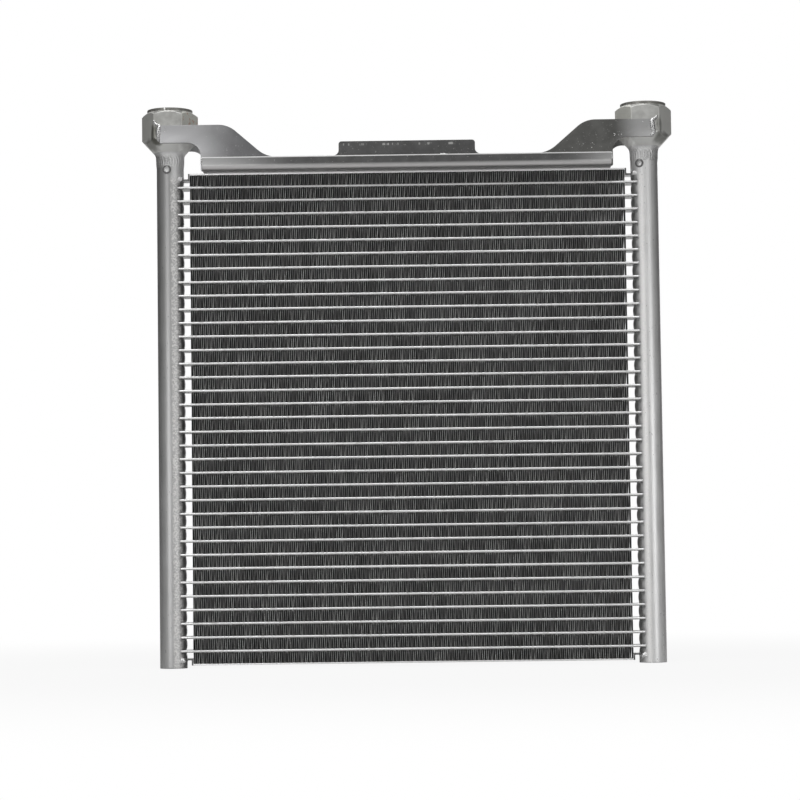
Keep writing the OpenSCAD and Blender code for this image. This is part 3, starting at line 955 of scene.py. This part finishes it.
machined = fitting_finish()
for side in CORE_SIDE:
    node = f"{side}_port_fitting"
    add_piece(f"{side}_fitting", port_fitting(side), machined, "machined_fitting", node, sharp=30)
    add_piece(f"{side}_thread", port_thread(side), machined, "machined_fitting", sharp=30)

# ------------------------------------------------------------
# Neck welds: a run of weld metal all around each header, where the fitting's cone meets it. It
# was dressed nearly flush, so the rings of the weld pool are low and lie slantwise.
# ------------------------------------------------------------
NECK_WELD_HEIGHT = 11.0 * MM
NECK_WELD_ROWS = 22
RIPPLE_SPACING = 2.1 * MM
RIPPLE_DEPTH = 0.32 * MM
RIPPLE_BOW = 2.6 * MM
RIPPLE_SLANT = 3.0 * MM


def weld_finish(name, dull, bright, smoothest, painted_light_amount=0.0):
    """Weld metal, rougher and with painted light where it faces the core and on the outside under
    the cone.
    """
    finish, tree, shader, place = new_finish(name, bright, 0.28)
    skin = grain(tree, place, 0.9 * MM, detail=4)
    x, _, height = axes(tree, place)
    core_side = toward_core(x).between(-0.5 * MM, 5.0 * MM)
    under_cone = height.between(neck_z - 4.5 * MM, neck_z - 1.0 * MM)
    under_cone = under_cone * toward_core(x).between(-8.5 * MM, -3.5 * MM)
    # Where it faces the core and on the outside under the cone, the weld is painted lighter as
    # painted light.
    core_side_brightening = (1.0 - (1.0 - core_side) * (1.0 - under_cone)) * painted_light_amount
    metal = blend_colour(tree, skin.between(0.3, 0.7), dull, bright)
    feed(tree, shader, Base_Color=blend_colour(tree, core_side_brightening, metal, grey(1.0)))
    feed(tree, shader, Roughness=skin * 0.3 + smoothest + core_side_brightening * 0.22)
    roughen(tree, shader, skin, 0.06 * MM, 0.6)
    return finish


def neck_weld(side):
    radius = header_radius()
    foot_z = neck_z - NECK_WELD_HEIGHT
    outline = []
    for row in range(NECK_WELD_ROWS + 1):
        up = row / NECK_WELD_ROWS
        reach = radius + 0.05 * MM + (CONE_FOOT - radius) * up**7
        outline.append((reach, foot_z + NECK_WELD_HEIGHT * up))
    outline.append((radius - 0.3 * MM, neck_z))
    outline.append((radius - 0.3 * MM, foot_z))
    shell = bmesh.new()
    spin_outline(shell, outline, 180)
    for vert in shell.verts:
        up = (vert.co.z - foot_z) / NECK_WELD_HEIGHT
        if vert.co.xy.length < radius or not 0.01 < up < 0.99:
            continue
        around = math.atan2(vert.co.y, vert.co.x) * radius
        bow = RIPPLE_BOW * (2 * up - 1) ** 2
        wave = math.cos(math.tau * (around + bow + RIPPLE_SLANT * up) / RIPPLE_SPACING)
        fade = math.sin(math.pi * up) ** 0.7
        rough = noise.noise(vert.co / (1.6 * MM)) * 0.3
        vert.co.xy *= 1 + fade * RIPPLE_DEPTH * (0.5 + 0.5 * wave + rough) / radius
    bmesh.ops.translate(shell, verts=shell.verts, vec=(header_axis(side), 0, 0))
    return shell


weld_metal = weld_finish("weld_metal", grey(0.36), grey(0.92), 0.12)
dressed_welds = {
    "left": weld_finish("left_neck_weld", grey(0.40), grey(0.66), 0.26, 0.8),
    "right": weld_finish("right_neck_weld", grey(0.48), grey(0.76), 0.26, 0.7),
}
for side, dressed in dressed_welds.items():
    node = f"{side}_neck_weld"
    add_piece(f"{side}_weld_ring", neck_weld(side), dressed, "weld_bead", node, sharp=60)

# ------------------------------------------------------------
# Support channel: aluminium sheet folded into a channel along the top of the core, its rear
# flange cut to a tab with two holes. It is dull and painted dark as painted shade, with the scuffs
# of handling.
# ------------------------------------------------------------
channel_low, channel_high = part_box("support_channel")
flange_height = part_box("channel_end_welds")[1].z - channel_low.z


def bracket_finish(name, shaded_grey, pale, reach, fold_height=0.0, left_gain=0.0):
    """Bracket sheet: painted dark as painted shade, paler near the header, with scuffs; a fold gets
    painted light and painted shade under it, and its top edge a painted highlight.
    """
    finish, tree, shader, place = new_finish(name, pale, 0.4, 0.9)
    is_folded = 1.0 if fold_height else 0.0
    x, _, height = axes(tree, place)
    above_core = height - channel_low.z
    blotches = grain(tree, place, 8 * MM, detail=5)
    rolled = grain(tree, place, 0.4 * MM, (50, 1, 1))
    flecks = grain(tree, place, 1.2 * MM, detail=2).between(0.66, 0.74)
    # The sheet is painted dark grey as painted shade, in blotches, and paler towards the header.
    lighter = tuple(1.35 * part for part in shaded_grey)
    metal = blend_colour(tree, blotches.between(0.25, 0.8), shaded_grey, lighter)
    to_header = abs(toward_core(x)) * (1.0 - (x < 0.0) * left_gain)
    metal = blend_colour(tree, to_header.between(reach[1], reach[0]), metal, pale)
    # Painted light on the fold at the channel's lower edge.
    fold_painted_light = above_core.between(fold_height * 1.1, fold_height * 0.45)
    metal = blend_colour(tree, fold_painted_light, metal, (0.80, 0.785, 0.785))
    # Painted shade on the lowest 1.8 mm of the fold, lighter on its very underside.
    underneath = above_core.between(0.3 * MM, 0.05 * MM)
    underside_shade = above_core.between(1.8 * MM, 0.6 * MM) * (0.6 - underneath * 0.45)
    metal = blend_colour(tree, underside_shade * is_folded, metal, grey(0.06))
    # A painted highlight along the top 0.9 mm of the flange.
    from_edge = above_core - flange_height
    top_edge_highlight = from_edge.between(-0.9 * MM, -0.5 * MM) * from_edge.between(0.2 * MM, 0.0)
    metal = blend_colour(tree, top_edge_highlight * is_folded, metal, grey(1.0))
    to_top = channel_high.z - height
    scuffs = grain(tree, place, 5 * MM, (1, 1, 8), 4).between(0.56, 0.64)
    scuffs = scuffs * to_top.between(1.4 * MM, 2.0 * MM) * to_top.between(3.6 * MM, 3.0 * MM)
    marks = flecks * 0.35 + scuffs * 0.7 * is_folded
    feed(tree, shader, Base_Color=blend_colour(tree, marks, metal, (0.66, 0.66, 0.65)))
    feed(tree, shader, Roughness=blotches * 0.2 + rolled * 0.1 + 0.28)
    roughen(tree, shader, rolled * 0.5 + blotches * 0.5, 0.03 * MM, 0.5)
    return finish


channel_sheet = bracket_finish(
    "channel_sheet", grey(0.12), grey(0.465), (16 * MM, 64 * MM), 4.5 * MM, 0.35
)
channel = softened("support_channel", 0.45 * MM, 3)
add_piece("channel", channel, channel_sheet, "bracket_sheet", "support_channel")

# ------------------------------------------------------------
# Ears: four cut aluminium plates, two at each fitting, welded to the hexagon's front and rear
# flats at one end and to the channel's flanges at the other.
# ------------------------------------------------------------
# The ears' dark grey is painted shade, paler towards the hexagon.
ear_sheets = {
    "left": bracket_finish(
        "left_ear_sheet", (0.17, 0.17, 0.175), (0.52, 0.52, 0.53), (13 * MM, 60 * MM)
    ),
    "right": bracket_finish(
        "right_ear_sheet", (0.125, 0.125, 0.12), grey(0.47), (4 * MM, 24 * MM)
    ),
}
for row in ("front", "rear"):
    for side, sheet in ear_sheets.items():
        node = f"{row}_{side}_ear"
        add_piece(f"{node}_plate", softened(node, 0.3 * MM, 3), sheet, "bracket_sheet", node)

# ------------------------------------------------------------
# Ear welds: bright rippled beads up the ears' outer ends, which start high on the hexagon, and
# the short beads that join the channel's ends to the ears. Drops of weld metal lie around them.
# ------------------------------------------------------------
BEAD_STEP = 0.4 * MM
CHANCE_SEED = 11
# Without a seed, noise_vector starts from the clock and the beads differ from run to run.
noise.seed_set(CHANCE_SEED)


def smooth_path(corners):
    """Points at even steps along a soft curve through the corners."""
    points = []
    count = len(corners)
    for index in range(count - 1):
        before = corners[max(index - 1, 0)]
        start, end = corners[index], corners[index + 1]
        after = corners[min(index + 2, count - 1)]
        pieces = max(2, round((end - start).length / BEAD_STEP))
        for piece in range(pieces):
            t = piece / pieces
            lead = (end - before) * 0.5
            tail = (after - start) * 0.5
            points.append(
                start * (2 * t**3 - 3 * t**2 + 1) + lead * (t**3 - 2 * t**2 + t)
                + end * (3 * t**2 - 2 * t**3) + tail * (t**3 - t**2)
            )
    points.append(corners[-1])
    return points


def rippled(points, spacing, depth):
    """The bead's swell along its way: the rings of the weld pool, and tapered ends."""
    swell = []
    travelled = 0.0
    for index, point in enumerate(points):
        travelled += (point - points[index - 1]).length if index else 0.0
        from_end = min(index, len(points) - 1 - index)
        taper = min(1.0, 0.45 + 0.2 * from_end)
        ring = 1 - depth + depth * abs(math.cos(math.pi * travelled / spacing))
        swell.append(taper * ring * (1 + 0.12 * noise.noise(point / (3 * MM))))
    return swell


ear_low, ear_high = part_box("front_left_ear")

# In mm: how far out from the ear's end, in front of the flat and above the ear's top a bead
# runs, and half its width there.
BEAD_ROUTES = {
    "left": (
        (0.8, 0.8, -11.6, 1.0),
        (1.1, 1.3, -9.8, 1.6),
        (0.9, 1.8, -6.8, 2.0),
        (0.9, 1.8, -3.2, 2.0),
        (0.1, 1.5, -0.9, 1.7),
        (0.6, 0.9, 0.0, 1.5),
        (2.6, 0.2, 1.0, 1.3),
        (4.2, -0.4, 2.8, 1.0),
        (4.5, -0.6, 5.6, 0.6),
    ),
    "right": (
        (-2.2, 2.6, -12.4, 1.2),
        (0.0, 2.1, -10.6, 1.7),
        (-0.4, 1.8, -7.4, 2.2),
        (-0.8, 1.9, -3.8, 2.3),
        (-0.8, 1.7, -1.3, 2.0),
        (0.8, 0.8, -0.1, 1.6),
        (2.4, 0.2, 1.3, 1.2),
        (3.3, -0.2, 2.9, 0.8),
    ),
}


def ear_bead(side, front):
    """From the ear's lower outer corner up its end, then over onto the hexagon's flat."""
    outwards = -CORE_SIDE[side]
    end_x = header_axis(side) + outwards * (header_axis("left") - ear_low.x)
    route = []
    for out, rise, up, half in BEAD_ROUTES[side]:
        y = front * (FLATS_HALF + rise * MM)
        route.append(Vector((end_x + outwards * out * MM, y, ear_high.z + up * MM, half * MM)))
    return route


def ear_weld_beads(side):
    curve = round_body(f"{side}_ear_beads", 1.0, 4)
    for front in (-1, 1):
        path = smooth_path(ear_bead(side, front))
        line = [point.xyz for point in path]
        swell = rippled(line, 1.3 * MM, 0.18)
        lay_spline(curve, line, [point.w * scale for point, scale in zip(path, swell)])
    shell = mesh_of_curve(curve)
    for vert in shell.verts:
        vert.co += 0.16 * MM * noise.noise_vector(vert.co / (1.5 * MM))
    return shell


def channel_end_beads():
    """Short upright beads in the corners between the channel's ends and the ears."""
    foot_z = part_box("channel_end_welds")[0].z
    top_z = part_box("channel_end_welds")[1].z
    curve = round_body("channel_end_beads", 1.15 * MM, 4)
    for x in (channel_low.x - 0.2 * MM, channel_high.x + 0.2 * MM):
        for y in (channel_low.y + 1.7 * MM, channel_high.y - 1.7 * MM):
            path = smooth_path([Vector((x, y, z)) for z in (foot_z, (foot_z + top_z) / 2, top_z)])
            lay_spline(curve, path, rippled(path, 1.1 * MM, 0.2))
    return mesh_of_curve(curve)


def weld_spatter():
    """Small drops beside the beads, more of them at the right, and a smear on the front flange."""
    chance = random.Random(CHANCE_SEED)
    shell = bmesh.new()
    flange_top = channel_low.z + flange_height
    # Where they lie: inwards from the header's axis, the heights, and how many.
    beside_bead = ((-6 * MM, 2 * MM), (ear_high.z - 10 * MM, ear_high.z - 1 * MM), 5)
    over_arch = ((17 * MM, 24 * MM), (ear_high.z - 12 * MM, ear_high.z - 9 * MM), 7)
    at_flange = ((36 * MM, 68 * MM), (flange_top + 1 * MM, flange_top + 7 * MM), 8)
    places = {"left": (beside_bead,), "right": (beside_bead, over_arch, at_flange)}
    for side in CORE_SIDE:
        for front in (1, -1):
            for inwards, heights, count in places[side]:
                for _ in range(count):
                    size = chance.uniform(0.2 * MM, 0.45 * MM)
                    x = header_axis(side) + CORE_SIDE[side] * chance.uniform(*inwards)
                    place = (x, front * ear_low.y, chance.uniform(*heights))
                    add_drop(shell, place, (size, size * 0.7, size))
    smear = (27 * MM, channel_low.y + 0.9 * MM, flange_top)
    add_drop(shell, smear, (3.4 * MM, 0.8 * MM, 0.7 * MM))
    return shell


for side in CORE_SIDE:
    node = f"{side}_ear_welds"
    add_piece(f"{side}_ear_beads", ear_weld_beads(side), weld_metal, "weld_bead", node, sharp=70)
end_beads = channel_end_beads()
add_piece("channel_end_beads", end_beads, weld_metal, "weld_bead", "channel_end_welds", sharp=70)
add_piece("weld_spatter", weld_spatter(), weld_metal, "weld_bead", sharp=70)
